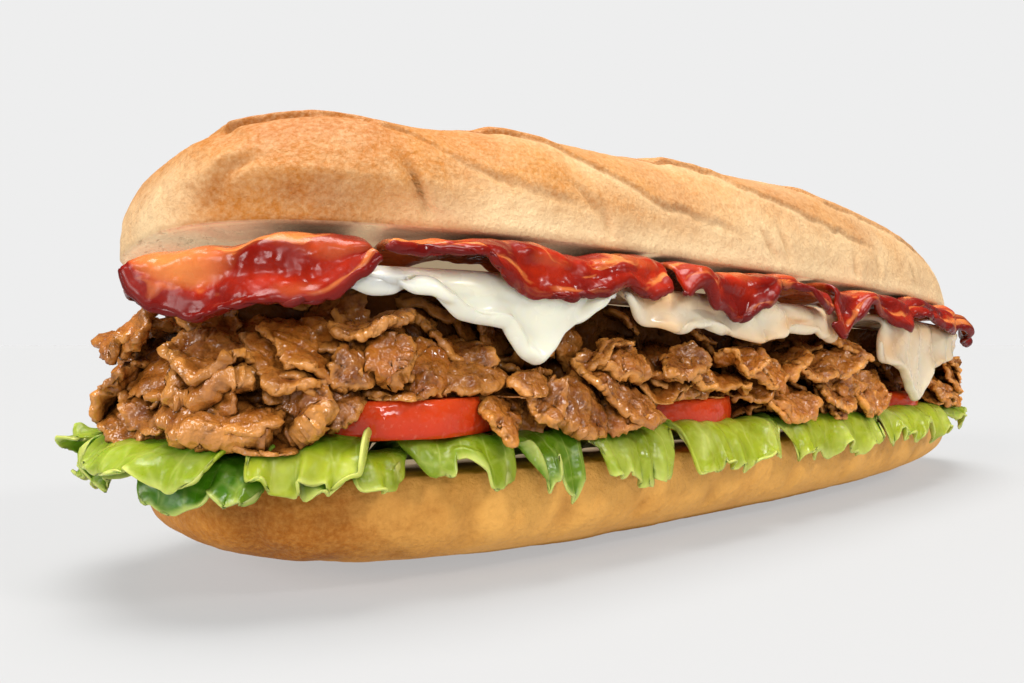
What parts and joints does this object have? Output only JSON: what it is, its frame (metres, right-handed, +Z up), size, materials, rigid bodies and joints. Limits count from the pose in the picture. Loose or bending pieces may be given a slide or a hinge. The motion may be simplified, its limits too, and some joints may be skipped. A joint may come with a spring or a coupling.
{
  "type": "submarine sandwich",
  "caption": "Long split roll filled with ruffled lettuce, tomato slices, shaved browned meat, melted cheese and wavy bacon; rests on the roll's flat underside.",
  "frame": {"origin": "on the floor under the middle of the roll, on the flat spot of the base's underside", "axes": "+X along the roll, -Y towards the open front where the filling shows, +Z up"},
  "size_m": [0.2976, 0.0965, 0.09],
  "materials": {
    "crust": "baked golden tan crust, matte with a faint sheen; pale crumb on the cut faces",
    "lettuce": "moist leaf, bright yellow-green at the edge, pale at the ribs, satin gloss",
    "tomato": "wet cut flesh with glossy red skin round the edge",
    "meat": "browned shaved meat with oily highlights",
    "cheese": "melted creamy white cheese, smooth and glossy",
    "bacon": "fried bacon, dark red lean and orange fat streaks, glossy"
  },
  "bodies": {
    "root": {"bacon_back_left": "bacon", "bacon_back_middle": "bacon", "bacon_back_right": "bacon", "bacon_end_left": "bacon", "bacon_front_left": "bacon", "bacon_front_right": "bacon", "bacon_front_second": "bacon", "bacon_front_third": "bacon", "cheese_back_left": "cheese", "cheese_back_right": "cheese", "cheese_front_left": "cheese", "cheese_front_middle": "cheese", "cheese_front_right": "cheese", "lettuce_back_1": "lettuce", "lettuce_back_2": "lettuce", "lettuce_back_3": "lettuce", "lettuce_back_4": "lettuce", "lettuce_back_5": "lettuce", "lettuce_end_left": "lettuce", "lettuce_end_left_low": "lettuce", "lettuce_end_right": "lettuce", "lettuce_front_1": "lettuce", "lettuce_front_1_upper": "lettuce", "lettuce_front_2": "lettuce", "lettuce_front_2_upper": "lettuce", "lettuce_front_3": "lettuce", "lettuce_front_4": "lettuce", "lettuce_front_5": "lettuce", "lettuce_front_6": "lettuce", "lettuce_front_7": "lettuce", "lettuce_front_8": "lettuce", "meat": "meat", "roll_base": "crust", "roll_crown": "crust", "tomato_back_left": "tomato", "tomato_back_middle": "tomato", "tomato_back_right": "tomato", "tomato_front_left": "tomato", "tomato_front_middle": "tomato", "tomato_front_right": "tomato"}
  },
  "joints": []
}
